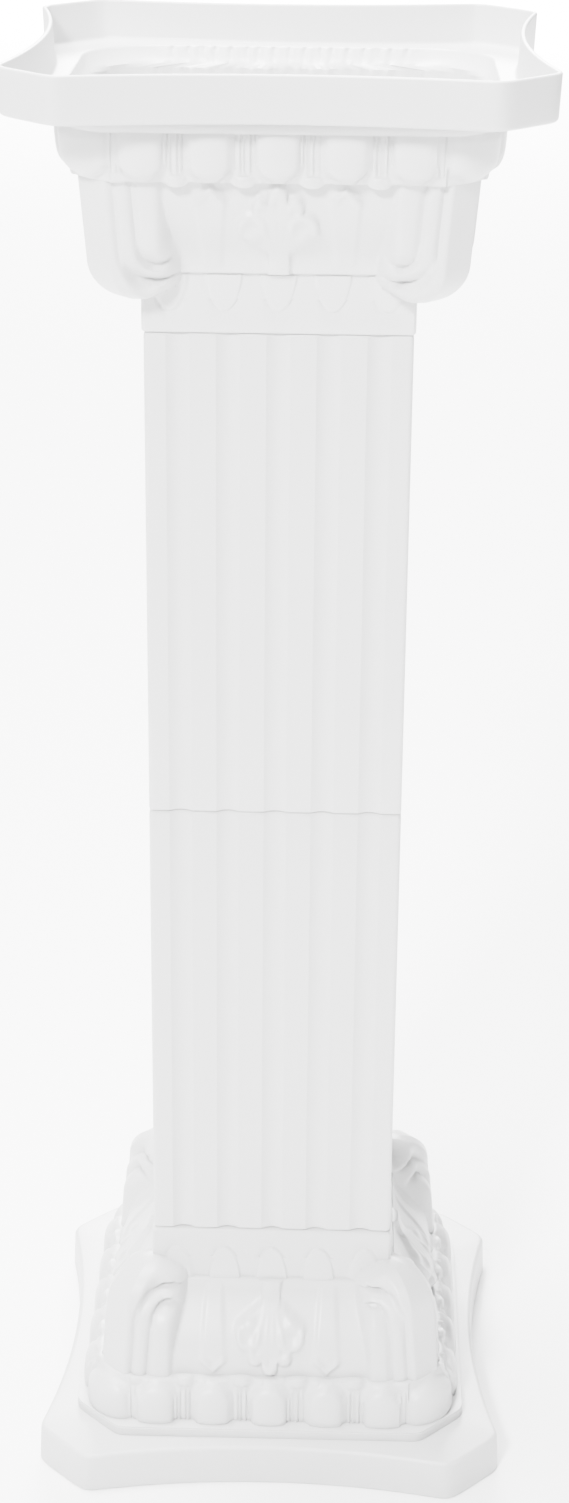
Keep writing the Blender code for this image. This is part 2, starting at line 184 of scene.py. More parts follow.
class RimSizes(bpy.types.PropertyGroup):
    band_half: length("Band half width", "From the axis to the plain band", 0.1245)
    band_chamfer: length("Band chamfer", "Width of the band's cut corner", 0.028)
    half: length("Half width", "From the axis to the rim's widest place", 0.1485)
    clip: length("Clip", "Width of the rim's cut corner", 0.0325)
    sag: length("Hollow", "How far the middle of a side is drawn in", 0.0135)
    draft: length("Draft", "How much the rim widens towards its lip", 0.001)
    bottom_edge: length("Bottom edge", "Rounding of the rim's lower edge", 0.0028)
    lip_edge: length("Lip edge", "Rounding of the rim's lip", 0.0012)
    opening_half: length("Opening half width", "From the axis to the opening in the ledge", 0.1205)
    opening_round: length("Opening corner", "Radius of the opening's corners", 0.042)
    opening_edge: length("Opening edge", "Rounding of the opening's upper edge", 0.0015)
    gap: length("Shadow gap", "Depth of the narrow gaps beside the band", 0.0026)
    streak: length("Streaks", "Height of the fine upright streaks inside the opening", 0.00035)


class PlasticLook(bpy.types.PropertyGroup):
    colour: tint("Colour", "Colour of the white plastic", (0.64, 0.64, 0.64))
    # Painted shade: the base's colour is a darker share of the capital's, as if the base got less light.
    base_painted_shade: factor("Base shade", "Share of that colour on the base", 0.90)
    mottle: factor("Mottle", "How far the colour wanders over the surface", 0.018)
    roughness: factor("Roughness", "Mean roughness", 0.36)
    unevenness: factor("Unevenness", "How far the roughness wanders", 0.10)
    grain: length("Grain height", "Height of the fine moulded grain", 0.00004)


class StageSettings(bpy.types.PropertyGroup):
    floor_colour: tint("Floor colour", "Colour of the pale floor", (0.97, 0.97, 0.97))
    floor_radius: length("Floor radius", "Radius of the floor", 16.0)
    sky: FloatProperty(name="Sky", description="Strength of the even light from all round", default=0.35, min=0.0)
    key: power("Key light", "Large light at the front left", 520.0)
    top: power("Top light", "Large light overhead", 1500.0)
    back: power("Back light", "Wide light over the floor behind", 4400.0)
    lens: FloatProperty(
        name="Lens", description="Focal length over a 36 mm frame height", default=64.866, subtype="DISTANCE_CAMERA"
    )
    pitch: angle("Pitch", "How far the camera looks down", 22.89)
    roll: angle("Roll", "How far the camera leans", 0.514)
    yaw: angle("Yaw", "How far the camera stands round the column", 1.317)
    camera_x: length("Camera across", "Camera's place across its own view", 0.0036)
    camera_y: length("Camera distance", "Camera's place in front of the column", -1.54339)
    camera_z: length("Camera height", "Camera's height above the floor", 1.10049)


class StandSettings(bpy.types.PropertyGroup):
    shaft: PointerProperty(type=ShaftSizes)
    moulding: PointerProperty(type=MouldingSizes)
    tongue: PointerProperty(type=TongueSizes)
    bracket: PointerProperty(type=BracketSizes)
    ornament: PointerProperty(type=BellOrnamentSizes)
    egg: PointerProperty(type=EggSizes)
    rim: PointerProperty(type=RimSizes)
    plastic: PointerProperty(type=PlasticLook)
    stage: PointerProperty(type=StageSettings)


# Shapes as whole arrays


def ease(t):
    """A smooth step: 0 below 0, 1 above 1, and 3t^2 - 2t^3 between."""
    t = np.clip(t, 0.0, 1.0)
    return t * t * (3 - 2 * t)


def mound(distance, width):
    """A bell curve: 1 at distance 0, falling off over about the width."""
    return np.exp(-((distance / width) ** 2))


def dome(distance, radius, power=0.6):
    """A rounded top: 1 at distance 0, falling to 0 at the radius as a power of 1 - (d/r)^2."""
    return np.clip(1 - (distance / radius) ** 2, 0.0, 1.0) ** power


def spread(keys, counts):
    """Columns laid evenly between key places. keys is (rows, places), counts the columns in each gap."""
    parts = [keys[:, :1]]
    for gap, count in enumerate(counts):
        share = np.arange(1, count + 1) / count
        parts.append(keys[:, gap : gap + 1] + (keys[:, gap + 1 : gap + 2] - keys[:, gap : gap + 1]) * share)
    return np.concatenate(parts, axis=1)


def softened(points, times):
    """Each point drawn towards its two neighbours along the loop, a quarter from each, so many times."""
    for _ in range(times):
        points = (np.roll(points, 1, axis=1) + 2 * points + np.roll(points, -1, axis=1)) / 4
    return points


def ring(x, out, height):
    """(rows, points, 3) loops from an eighth of the plan, given as places along a side and distances out from the
    axis, from a side's middle to the corner: mirrored into a whole side, then turned to the four sides."""
    level = np.broadcast_to(np.reshape(height, (len(x), -1)), x.shape)
    half = np.stack([x, -out, level], axis=2)
    side = np.concatenate([half[:, :0:-1] * (-1, 1, 1), half[:, :-1]], axis=1)
    across, away, level = side[..., 0], side[..., 1], side[..., 2]
    loops = [
        np.stack([across * cos - away * sin, across * sin + away * cos, level], axis=2)
        for cos, sin in ((1, 0), (0, 1), (-1, 0), (0, -1))
    ]
    return np.concatenate(loops, axis=1)


def upright(*values):
    """The values as columns of one shared height, so that each loop has its own."""
    return (np.reshape(np.asarray(v, float), (-1, 1)) for v in np.broadcast_arrays(*values))


def with_cut(x, out, half, chamfer):
    """Adds half a cut corner to the places and distances of a face: both change evenly over its columns."""
    cut = chamfer / 2 * CORNER_SHARES
    return np.concatenate([x, half - chamfer + cut], axis=1), np.concatenate([out, half - cut], axis=1)


def with_round(x, out, centre, radius, first):
    """Adds half a round corner to the places and distances of a face, from the first angle to the diagonal."""
    turned = first + (math.pi / 4 - first) * CORNER_SHARES
    corner_x, corner_out = centre + radius * np.cos(turned), centre + radius * np.sin(turned)
    return np.concatenate([x, corner_x], axis=1), np.concatenate([out, corner_out], axis=1)


def square_loops(half, chamfer, height):
    """Loops of chamfered squares: evenly spaced along the face, then evenly along half the chamfer."""
    half, chamfer, height = upright(half, chamfer, height)
    along = (half - chamfer) * FACE_SHARES
    return ring(*with_cut(along, half + 0 * along, half, chamfer), height)


def grid_faces(rows, columns, looped):
    """Quads between neighbouring loops. With looped, the last loop joins the first."""
    index = np.arange(rows * columns).reshape(rows, columns)
    beside = np.roll(index, -1, axis=1)
    quads = np.stack([index, beside, np.roll(beside, -1, axis=0), np.roll(index, -1, axis=0)], axis=2)
    return (quads if looped else quads[:-1]).reshape(-1, 4)


def shown_piece(name, loops, looped, place, material, sharp):
    """Makes the mesh of a piece from its loops, closes the ends of an unlooped one with fans, and puts it on the
    frame in place of the solid of the same name."""
    rows, columns = loops.shape[:2]
    points = loops.reshape(-1, 3)
    faces = grid_faces(rows, columns, looped).tolist()
    if not looped:
        first, last = np.arange(columns), (rows - 1) * columns + np.arange(columns)
        middles = rows * columns, rows * columns + 1
        points = np.concatenate([points, loops[:1].mean(axis=1), loops[-1:].mean(axis=1)])
        faces += np.stack([np.full(columns, middles[0]), np.roll(first, -1), first], axis=1).tolist()
        faces += np.stack([np.full(columns, middles[1]), last, np.roll(last, -1)], axis=1).tolist()
    mesh = bpy.data.meshes.new(name)
    mesh.from_pydata(place(points).tolist(), [], faces)
    mesh.validate()
    mesh.materials.append(material)
    mesh.shade_smooth()
    mesh.set_sharp_from_angle(angle=math.radians(sharp))
    piece = bpy.data.objects.new(name + "_moulded", mesh)
    bpy.context.scene.collection.objects.link(piece)
    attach(piece, "root")
    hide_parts(name)
    return piece


# The moulding of the capital and the base


def bracket_growth(h, s):
    """0 where a bracket leaves the neck and 1 at its full depth: a quarter of an ellipse over the height."""
    start = s.moulding.neck_height - s.bracket.drop
    reach = np.clip((h - start) / s.bracket.round, 0.0, 1.0)
    return np.sqrt(1 - (1 - reach) ** 2)


def bracket_outer(h, s):
    """Half width over the brackets: neck, grown projection, and a straight draft above the rounding."""
    top = s.moulding.neck_height + s.moulding.bell_height
    rounded = s.moulding.neck_height - s.bracket.drop + s.bracket.round
    drafted = np.clip((h - rounded) / (top - rounded), 0.0, 1.0)
    return s.moulding.neck_half + s.bracket.projection * bracket_growth(h, s) + s.bracket.draft * drafted


def bracket_chamfer(h, s):
    """Width of the cut corner: the neck's own where the bracket leaves it, and full at the full depth."""
    return s.moulding.neck_chamfer + (s.bracket.chamfer - s.moulding.neck_chamfer) * bracket_growth(h, s)


def bracket_inner(s):
    """Where a bracket's carved face begins, along a side."""
    return s.moulding.neck_half + s.bracket.projection - s.bracket.chamfer - s.bracket.face


def bracket_side(h, s):
    """Where a bracket's side wall starts: straight above the neck's top line, and below it drawn towards the corner
    as the square of the distance, which rounds the lower inner corner. Second value: how wide the wall's slope is."""
    b, m = s.bracket, s.moulding
    below = np.clip((m.neck_height - h) / b.drop, 0.0, 1.0)
    foot = m.neck_half - b.foot_inset
    slope = b.side * np.where(h < m.neck_height, bracket_growth(h, s), 1.0) + b.least_slope
    start = bracket_inner(s) - b.side
    return start + (foot - start) * below**2, slope


# The nested Us of a bracket, in millimetres: for a console its reach from the centre line, its half width where it
# leaves the bell and the height over which it swells; for the roll and the rib where the middle lies, the half width
# and the rise as a share of the carving; for the grooves where the middle lies and the depth as such a share.
CONSOLES = ((18.2, 82.0, 23.0), (9.0, 86.0, 19.0))
CONSOLE_STEP = 2.2
U_RIDGES = ((0.0, 7.6, 1.1, 0.5), (14.2, 4.2, 0.8, 0.7))
U_GROOVES = ((9.4, 1.0), (19.6, 1.2))
U_GROOVE_WIDTH = 1.4
RECESS_ACROSS, RECESS_UP = 20.5, 31.0


def bracket_face(x, h, s):
    """Half width over a bracket's face. In front view it is nested Us round a centre line that ends in a round. Each U
    is a console of its own, which leaves the bell higher up than the next one out and swells to the full depth like a
    quarter of an ellipse. A half-round roll, a groove, a rib and a second groove run along the Us. Between the outer
    Us the foot is drawn back into a soft recess."""
    b, m = s.bracket, s.moulding
    full = bracket_outer(np.maximum(h, m.neck_height - b.drop + b.round), s)
    from_line = full - b.chamfer - b.carving_line - x
    below = np.clip(b.carving_foot - h, 0.0, None)
    away = np.hypot(from_line, below)
    recess = m.neck_half + b.recess * np.sqrt(np.clip((h - b.recess_foot) / b.recess_height, 0.0, 1.0))
    cut = b.recess_share * ease(below / np.maximum(away, 1 * MM) * 1.5 - 0.35)
    cut = cut * ease((1.0 - np.hypot(from_line / (RECESS_ACROSS * MM), below / (RECESS_UP * MM))) / 0.3)
    face = bracket_outer(h, s) + 0 * x
    face = face + np.minimum(recess - face, 0.0) * cut
    for reach, foot, height in CONSOLES:
        risen = np.clip((h - b.carving_foot + reach * MM) / (height * MM), 0.0, 1.0)
        console = foot * MM + (full - foot * MM) * (1 - (1 - risen) ** 2) ** 0.7
        face = face + (console - face) * ease((reach * MM - away) / (CONSOLE_STEP * MM) + 0.5)
    for middle, half, rise, fullness in U_RIDGES:
        face = face + rise * b.carving * dome(away - middle * MM, half * MM, fullness)
    for middle, depth in U_GROOVES:
        face = face - depth * b.carving * mound(away - middle * MM, U_GROOVE_WIDTH * MM)
    return face


def tongue_half(reach, s):
    """Half width of a tongue: the root of 1 - (share of the way down)^1.75, which ends in a round tip."""
    return s.tongue.half * np.sqrt(1 - reach**1.75)


def tongue_relief(x, h, s):
    """Tongues that hang from the neck's top line: a pad that thickens upwards until it meets the bell's lip, with a
    fine groove along its outline."""
    t = s.tongue
    reach = np.clip((s.moulding.neck_height - h) / t.drop, 0.0, 1.0)
    past_tip = np.maximum(s.moulding.neck_height - t.drop - h, 0.0)
    steep = t.half * 0.875 * reach**0.75 / t.drop / np.sqrt(np.maximum(1 - reach**1.75, 0.01))
    rise = t.rise + t.swell * (1 - reach) ** 1.5
    relief = np.zeros(np.broadcast_shapes(x.shape, h.shape))
    for number in range(3):
        beyond = (np.abs(x - number * t.pitch) - tongue_half(reach, s)) / np.sqrt(1 + steep**2)
        beyond = np.where(past_tip > 0, np.hypot(beyond, past_tip), beyond)
        relief += rise * ease(0.5 - beyond / t.edge) - t.groove * mound(beyond - t.groove_offset, t.groove_width)
    return relief


def petal(x, a, root, tip, root_radius, tip_radius, height):
    """A tapered, round-topped petal from its root to its tip, both (across, up) in millimetres."""
    (rx, ra), (tx, ta) = root, tip
    dx, da = (tx - rx) * MM, (ta - ra) * MM
    along = np.clip(((x - rx * MM) * dx + (a - ra * MM) * da) / (dx * dx + da * da), 0.0, 1.0)
    away = np.hypot(x - rx * MM - along * dx, a - ra * MM - along * da)
    radius = (root_radius + (tip_radius - root_radius) * along) * MM
    return height * dome(away, radius, 0.65)


# The right half of the palmette, in millimetres across and up. Body: root, tip, and the radius at each. Swells and
# dimples: middle, radius and height or depth as a share of the rise. Bowl: middle, reach and width of its curled rim,
# width of its hollow.
PALMETTE_BODY = (
    ((0.0, -4.0), (0.0, 12.0), 7.0, 6.2),
    ((0.0, 14.0), (0.0, 49.0), 6.8, 5.0),
    ((4.0, 18.0), (9.3, 42.4), 5.0, 4.9),
    ((6.0, 18.0), (14.6, 30.6), 5.0, 7.6),
    ((7.0, 18.5), (19.2, 26.0), 3.6, 3.4),
)
PALMETTE_SWELLS = ((0.0, 48.6, 5.2, 0.42), (9.3, 42.6, 4.7, 0.42), (13.6, 21.6, 4.6, 0.30), (0.0, 5.0, 5.6, 0.22))
PALMETTE_DIMPLES = ((0.0, 44.2, 2.2, 0.45), (8.6, 38.4, 2.1, 0.38))
PALMETTE_BOWL = (14.0, 28.0, 6.6, 1.6, 4.2)
PALMETTE_RIB_SLOPES = (0.07, 0.30)


def palmette_relief(x, a, s):
    """Half a palmette. Its body is the union of tapered petals with soft edges. On it stand round swells at the
    beads, fine ribs that run up to them and a curled rim over a bowl; dimples lie under the beads."""
    body = np.zeros(np.broadcast_shapes(x.shape, a.shape))
    for root, tip, root_radius, tip_radius in PALMETTE_BODY:
        body = np.maximum(body, petal(x, a, root, tip, root_radius, tip_radius, 1.0))
    relief = 0.8 * np.clip(body * 2.2, 0.0, 1.0)
    for dx, da, radius, height in PALMETTE_SWELLS:
        relief = relief + height * dome(np.hypot(x - dx * MM, a - da * MM), radius * MM, 0.9)
    for dx, da, radius, depth in PALMETTE_DIMPLES:
        relief = relief - depth * mound(np.hypot(x - dx * MM, a - da * MM), radius * MM)
    across, up, rim_reach, rim_width, hollow = (value * MM for value in PALMETTE_BOWL)
    from_bowl = np.hypot(x - across, (a - up) * 0.9)
    bowl = 0.42 * mound(from_bowl - rim_reach, rim_width) - 0.28 * mound(from_bowl, hollow)
    relief = relief + body * bowl * ease((a - 24.0 * MM) / (6 * MM))
    for slope in PALMETTE_RIB_SLOPES:
        rib = mound(x - slope * (a - 6 * MM) - 0.5 * MM, 1.1 * MM) * ease((a - 12 * MM) / (6 * MM))
        relief = relief + 0.08 * body * rib * ease((38 * MM - a) / (6 * MM))
    return np.maximum(relief, 0.0) * s.ornament.palmette


def plaque_relief(x, a, s):
    """A panel that widens upwards to its eaves under a gable, with soft edges and a roll along the gable."""
    o = s.ornament
    beside = np.abs(x - o.plaque_offset)
    foot, eaves, apex = o.foot_level, o.eaves_level, o.apex_level
    half = o.plaque_foot + (o.plaque_eaves - o.plaque_foot) * np.clip((a - foot) / (eaves - foot), 0.0, 1.0)
    pitch = (apex - eaves) / o.plaque_eaves
    under_gable = (apex - a - beside * pitch) / math.sqrt(1 + pitch * pitch)
    inside = np.minimum(np.minimum(half - beside, a - foot), under_gable)
    panel = o.plaque * ease(inside / o.plaque_edge)
    roll = dome(under_gable - o.gable_roll, o.gable_roll) * ease((half + 1.2 * MM - beside) / (1.5 * MM))
    return panel + roll * ease((a - eaves + 3 * MM) / (2.5 * MM)) * o.gable_rise


def bell_half(a, s):
    """The bell's face: its foot plus the flare times one minus a falling exponential of a power of the height."""
    m = s.moulding
    return m.neck_half + m.lip + m.flare * (1 - np.exp(-((np.maximum(a, 0.0) / m.flare_reach) ** 2.1)))


def bracket_surface(x, h, s):
    """Half width over the neck and a bracket: the bracket's face, drawn back to the neck over its inner wall, whose
    section is a parabola."""
    start, slope = bracket_side(h, s)
    wall = 1 - (1 - np.clip((x - start) / slope, 0.0, 1.0)) ** 2
    return s.moulding.neck_half + (bracket_face(x, h, s) - s.moulding.neck_half) * wall


def neck_heights(s):
    """Heights of the neck's loops: close together at its rounded end, at the tongues' tips, round the brackets'
    undersides and at the shadow gap."""
    m = s.moulding
    end = m.neck_edge * (1 - np.cos(np.radians([0, 25, 50, 70, 90])))
    tip, foot = m.neck_height - s.tongue.drop, m.neck_height - s.bracket.drop
    under = tip + (foot - tip) * np.array([-1.0, -0.15, 0.0, 0.06, 0.16, 0.32, 0.5, 0.7, 0.9])
    turn = math.acos(1 - s.bracket.drop / s.bracket.round) * np.linspace(0, 1, 12)[:-1]
    gap = m.neck_height - np.array([1.5, 1.05, 0.0]) * MM
    return np.concatenate([end, under, foot + s.bracket.round * (1 - np.cos(turn)), gap]), len(end)


def neck_loops(s, shadow):
    """The neck from its rounded end to the shadow gap under the bell's foot. Out is the plain face plus the tongues,
    or the bracket's foot where that stands further out. Columns follow the tongues' outlines."""
    m, t = s.moulding, s.tongue
    heights, rounded_rows = neck_heights(s)
    h = heights[:, None]
    half = np.maximum(tongue_half(np.clip((m.neck_height - h) / t.drop, 0.0, 1.0), s), 2.4 * MM)
    ridge = 1.3 * MM
    outer, chamfer = bracket_outer(h, s), bracket_chamfer(h, s)
    side, edge = bracket_inner(s), outer - chamfer
    flat = np.zeros_like(h)
    keys = np.concatenate(
        [
            flat, half - ridge, half + ridge, flat + t.pitch / 2,
            t.pitch - half - ridge, t.pitch - half + ridge, flat + t.pitch, t.pitch + half - ridge,
            t.pitch + half + ridge, flat + 1.5 * t.pitch, flat + side - s.bracket.side, flat + side,
            edge - 0.45 * (edge - side), edge,
        ],
        axis=1,
    )
    x = spread(keys, (4, 4, 5, 5, 4, 4, 4, 4, 5, 6, 13, 10, 12))
    plain = m.neck_half - m.neck_edge + np.sqrt(m.neck_edge**2 - np.clip(m.neck_edge - h, 0.0, None) ** 2)
    undercut = t.undercut * shadow * (h > m.neck_height - 1.2 * MM)
    bracket = np.where(h > m.neck_height - s.bracket.drop, bracket_surface(x, h, s), 0.0)
    out = np.maximum(plain + tongue_relief(x, h, s) - undercut, bracket)
    loops = ring(*with_cut(x, out, outer, chamfer), h)
    end = square_loops(plain[:rounded_rows, 0], m.neck_chamfer, heights[:rounded_rows])
    return np.concatenate([softened(end, 1), loops[rounded_rows:]])


def bell_loops(s):
    """The bell from its lip to the eggs: its flared face plus palmette and plaque, or the bracket where that stands
    further out, each loop drawn a little towards its neighbours. The other values are the places and distances of
    its top row, which the eggs grow from."""
    m = s.moulding
    a = np.concatenate([[0.06 * MM, 0.3 * MM, 0.8 * MM, 1.6 * MM], np.linspace(2.6 * MM, m.bell_height, 36)])[:, None]
    h = m.neck_height + a
    outer, chamfer = bracket_outer(h, s), bracket_chamfer(h, s)
    side, edge = bracket_inner(s), outer - chamfer
    flat = np.zeros_like(h)
    before = [flat, flat + 23.5 * MM, flat + side - s.bracket.side, flat + side]
    keys = np.concatenate(before + [edge - inward * MM for inward in (17.0, 10.5, 6.5, 3.5, 0.0)], axis=1)
    x = spread(keys, (22, 22, 12, 7, 6, 4, 4, 3))
    rounded = 0.25 * m.lip * (1 - np.sqrt(1 - (1 - np.clip(a / m.lip, 0, 1)) ** 2))
    face = bell_half(a, s) - rounded + palmette_relief(x, a, s) + plaque_relief(x, a, s)
    out = np.maximum(face, bracket_surface(x, h, s))
    out[1:-1] = (out[:-2] + 2 * out[1:-1] + out[2:]) / 4
    x, out = with_cut(x, out, outer, chamfer)
    return ring(x, out, h), x[-1:], out[-1:]


# Place of each dart in pitches, and the share of the full flare that its tip has
DARTS = ((0.5, 1.0), (1.5, 1.0), (2.4, 0.3))
EGG_SHARES = np.concatenate([[0.012, 0.03, 0.055, 0.08, 0.11, 0.145], np.linspace(0.185, 1.0, 14)])[:, None]


def egg_round(across, share):
    """Distance from an egg's middle line as a share of its size: 1 on its outline, with a round lower end."""
    return np.hypot(across, np.clip(0.45 - share, 0.0, None) / 0.38)


def egg_swell(away):
    """The section of an egg: a circle's, slightly fuller."""
    return np.sqrt(np.clip(1 - away**2, 0.0, 1.0)) ** 0.9


def egg_profile(x, share, s):
    """How the egg course stands out at places along a side, for x up to the corner's round. The ground leans out as a
    rounded quarter. On it stand the eggs, round across and at their lower end, each in a husk that is a fine rim with
    a groove inside it. Each dart has three fine ribs and a small flared tip. The second value is the ground alone."""
    e = s.egg
    lean = (1 - (1 - share) ** 2.2) ** (1 / 2.2)
    ground = e.foot_half + e.overhang + (e.projection - e.overhang - e.bulge) * lean
    out = ground + 0 * x
    for dart, flared in DARTS:
        beside = x - dart * e.pitch
        ribs = sum(mound(beside - place * e.rib_pitch, e.rib_width) for place in (-1, 0, 1))
        out = out + e.rib * ribs * ease((share - 0.14) / 0.12)
        out = out + flared * e.tip * mound(share - 0.09, 0.04) * dome(beside, 5.5 * MM)
    for number in range(3):
        away = egg_round((x - number * e.pitch) / e.half, share)
        rim = ease((1.24 - away) * e.half / (1.8 * MM)) - 0.5 * mound((away - 1.04) * e.half, 0.9 * MM)
        out = out + (e.bulge - e.husk) * egg_swell(away) + e.husk * rim
    return out - e.tuck * ease((share - 0.9) / 0.08), ground


def egg_corner(turned, first, ground, share, s):
    """How far the corner egg stands from the corner's centre, over a quarter turn that starts at first."""
    e = s.egg
    away = egg_round((turned - math.pi / 4) / (first - math.pi / 4), share)
    return ground - e.corner_centre + 1.1 * e.bulge * egg_swell(away) - e.tuck * ease((share - 0.9) / 0.08)


def egg_loops(s, top_x, top_out):
    """The egg-and-dart course, which grows out of the bell's top row and curls a little over it, most at the darts.
    Faces keep the bell's columns. The corner egg follows a round centred inside the corner."""
    m, e = s.moulding, s.egg
    share, centre = EGG_SHARES, e.corner_centre
    face_x = top_x[:, : FACE_COLUMNS + 1] * np.ones_like(share)
    face_out, ground = egg_profile(face_x, share, s)
    places = e.corner_start, face_x
    start, turned = (np.arccos(np.clip((place - centre) / (ground - centre), -1, 1)) for place in places)
    last = turned[:, -1:]
    turned = np.concatenate([turned, last + (math.pi / 4 - last) * CORNER_SHARES], axis=1)
    reach = egg_corner(turned, start, ground, share, s)
    x, out = centre + reach * np.cos(turned), centre + reach * np.sin(turned)
    on_face = face_x <= e.corner_start
    x[:, : FACE_COLUMNS + 1][on_face] = face_x[on_face]
    out[:, : FACE_COLUMNS + 1][on_face] = face_out[on_face]
    grown = ease(share / 0.055)
    at_darts = sum(flared * dome(x - dart * e.pitch, 6.5 * MM) for dart, flared in DARTS)
    curl = (0.4 + at_darts) * e.curl * np.sin(math.pi * np.clip(share / 0.1, 0.0, 1.0))
    h = m.neck_height + m.bell_height + m.eggs_height * share - curl
    return ring(top_x + (x - top_x) * grown, top_out + (out - top_out) * grown, h)


def levels(s):
    """Heights over the neck's end: the eggs' top, the band's top and the rim's lip."""
    m = s.moulding
    eggs_top = m.neck_height + m.bell_height + m.eggs_height
    return eggs_top, eggs_top + m.band_height, eggs_top + m.band_height + m.rim_height


def band_loops(s, shadow):
    """The plain band between its two narrow shadow gaps: chamfered squares, softened along the loop."""
    r = s.rim
    eggs_top, band_top, _ = levels(s)
    inset = np.array([r.gap, r.gap, 0.3 * MM, 0.0, 0.0, 0.3 * MM, r.gap - 0.2 * MM, r.gap - 0.2 * MM]) * shadow
    from_edge = np.array([0.2, 1.2, 1.3, 1.7]) * MM
    height = np.concatenate([eggs_top + from_edge, band_top - from_edge[::-1]])
    return softened(square_loops(r.band_half - inset, r.band_chamfer - inset, height), 10)


def rim_plan(s, inset, height):
    """Loops of the rim's plan: four sides hollowed as a parabola, four clipped corners, drawn in by the inset, and
    softened along the loop so that the upright edges are round."""
    r = s.rim
    inset, height = upright(inset, height)
    half, clip = r.half - inset, r.clip - inset * (2 - math.sqrt(2))
    x, out = (half - clip) * FACE_SHARES, half - r.sag * (1 - FACE_SHARES**2)
    return softened(ring(*with_cut(x, out, half, clip), height), 14)


def rim_loops(s):
    """The rim round its section: its rounded lower edge, the rounded lip, and down the inside to the fillet and the
    ledge. Each rounding is a quarter of a circle."""
    m, r = s.moulding, s.rim
    _, band_top, top = levels(s)
    low = np.radians([0, 22, 45, 67, 90])
    lip = np.radians([0, 30, 60, 90])
    fillet, ledge, inner = 0.8 * r.bottom_edge, band_top + m.wall, m.wall + r.draft
    inset = [
        r.draft + r.bottom_edge * (1 - np.sin(low)), r.lip_edge * (1 - np.cos(lip)),
        m.wall - r.lip_edge * (1 - np.sin(lip)), inner + fillet * (1 - np.cos(lip[:3])), [inner + fillet],
    ]
    height = [
        band_top + r.bottom_edge * (1 - np.cos(low)), top - r.lip_edge * (1 - np.sin(lip)),
        top - r.lip_edge * (1 - np.cos(lip)), ledge + fillet * (1 - np.sin(lip[:3])), [ledge],
    ]
    return rim_plan(s, np.concatenate(inset), np.concatenate(height))


# The streaks inside the opening: wave length in millimetres, height as a share and phase of each wave
STREAK_WAVES = ((8.8, 1.0, 0.0), (5.1, 0.7, 1.0))


def opening_loops(s):
    """The rounded edge of the opening in the ledge and the wall under it, which leans in: squares with round corners.
    The wall's sides carry fine upright streaks, the sum of two cosine waves."""
    r = s.rim
    eggs_top, band_top, _ = levels(s)
    ledge, turn = band_top + s.moulding.wall, np.radians([0, 45, 90])
    inset = np.concatenate([r.opening_edge * (1 - np.sin(turn)), np.array([-1.6, -4.0, -5.5]) * MM])
    below = eggs_top + np.array([5.0, 2.0, 0.5]) * MM
    height = np.concatenate([ledge - r.opening_edge * (1 - np.cos(turn)), below])
    streak = [0.0, 0.0, r.streak, r.streak, r.streak, 0.0]
    half, height, streak = upright(r.opening_half + inset, height, streak)
    straight = half - r.opening_round
    along = straight * FACE_SHARES
    waves = sum(rise * np.cos(2 * math.pi * along / (span * MM) + phase) for span, rise, phase in STREAK_WAVES)
    waves = streak * waves * ease((straight - along) / (9 * MM))
    return ring(*with_round(along, half + waves, straight, r.opening_round, math.pi / 2), height)


def egg_backs(s, face_x):
    """The backs of the eggs: their ground less one wall, swelling faintly behind each egg, with upright streaks and a
    round corner."""
    m, centre = s.moulding, s.egg.corner_centre
    share = np.array([0.93, 0.9, 0.8, 0.65, 0.5, 0.4])[:, None]
    x = face_x * np.ones_like(share)
    out, ground = egg_profile(x, share, s)
    streaks = 0.5 * MM * np.cos(2 * math.pi * x / (9 * MM)) * ease((0.93 - share) * 30)
    back = ground - m.wall + (out - ground) * 0.3 + streaks
    radius = ground - centre - m.wall
    back = np.where(x > centre, centre + np.sqrt(np.clip(radius**2 - (x - centre) ** 2, 0, None)), back)
    last = np.arccos(np.clip((x[:, -1:] - centre) / radius, -1, 1))
    height = m.neck_height + m.bell_height + m.eggs_height * share
    return ring(*with_round(x, back, centre, radius, last), height)


def pocket_loops(s, face_x):
    """The inside of the bell one wall behind its face, and the pockets that open behind the brackets."""
    m = s.moulding
    a = np.array([1.0, 0.8, 0.6, 0.4, 0.25, 0.1])[:, None] * m.bell_height
    h = m.neck_height + a
    bell = bell_half(a, s) - m.wall
    behind = bracket_outer(h, s) - m.wall - 2 * s.bracket.carving
    pocket = bell + np.maximum(behind - bell, 0.0) * ease((h - 48 * MM) / (9 * MM))
    chamfer = bracket_chamfer(h, s) + (2 - math.sqrt(2)) * m.wall
    x = face_x * (pocket - chamfer) / face_x[:, -1:]
    out = bell + (pocket - bell) * ease((x - 57 * MM) / (14 * MM))
    return ring(*with_cut(x, out, pocket, chamfer), h)


def inside_loops(s, top_x):
    """The inside from the eggs' backs down the bell and its pockets and the neck to the floor of the well."""
    m = s.moulding
    face_x = top_x[:, : FACE_COLUMNS + 1]
    floor, inner = m.web + m.wall, m.neck_half - m.wall
    well = square_loops([inner, inner, inner - 1 * MM], m.neck_chamfer, [m.neck_height - m.wall, floor + 1 * MM, floor])
    return np.concatenate([softened(egg_backs(s, face_x), 1), softened(pocket_loops(s, face_x), 2), well])


def plug_half(s):
    """Half width of a plug: the tube's clear half width less its play."""
    t = s.shaft
    return t.half - t.flute_depth - t.wall - t.play


def plug_loops(s):
    """From the floor's underside down the inside of the plug, round its end and up to the neck's end."""
    m, inner, plug = s.moulding, s.moulding.neck_half - s.moulding.wall, plug_half(s)
    half = [inner, inner, plug - m.wall, plug - m.wall, plug, plug]
    chamfer = [m.neck_chamfer, m.neck_chamfer, 2.2 * MM, 2.2 * MM, 4 * MM, 4 * MM]
    return square_loops(half, chamfer, [m.web, 6 * MM, m.wall, -s.shaft.plug, -s.shaft.plug, 0.0])


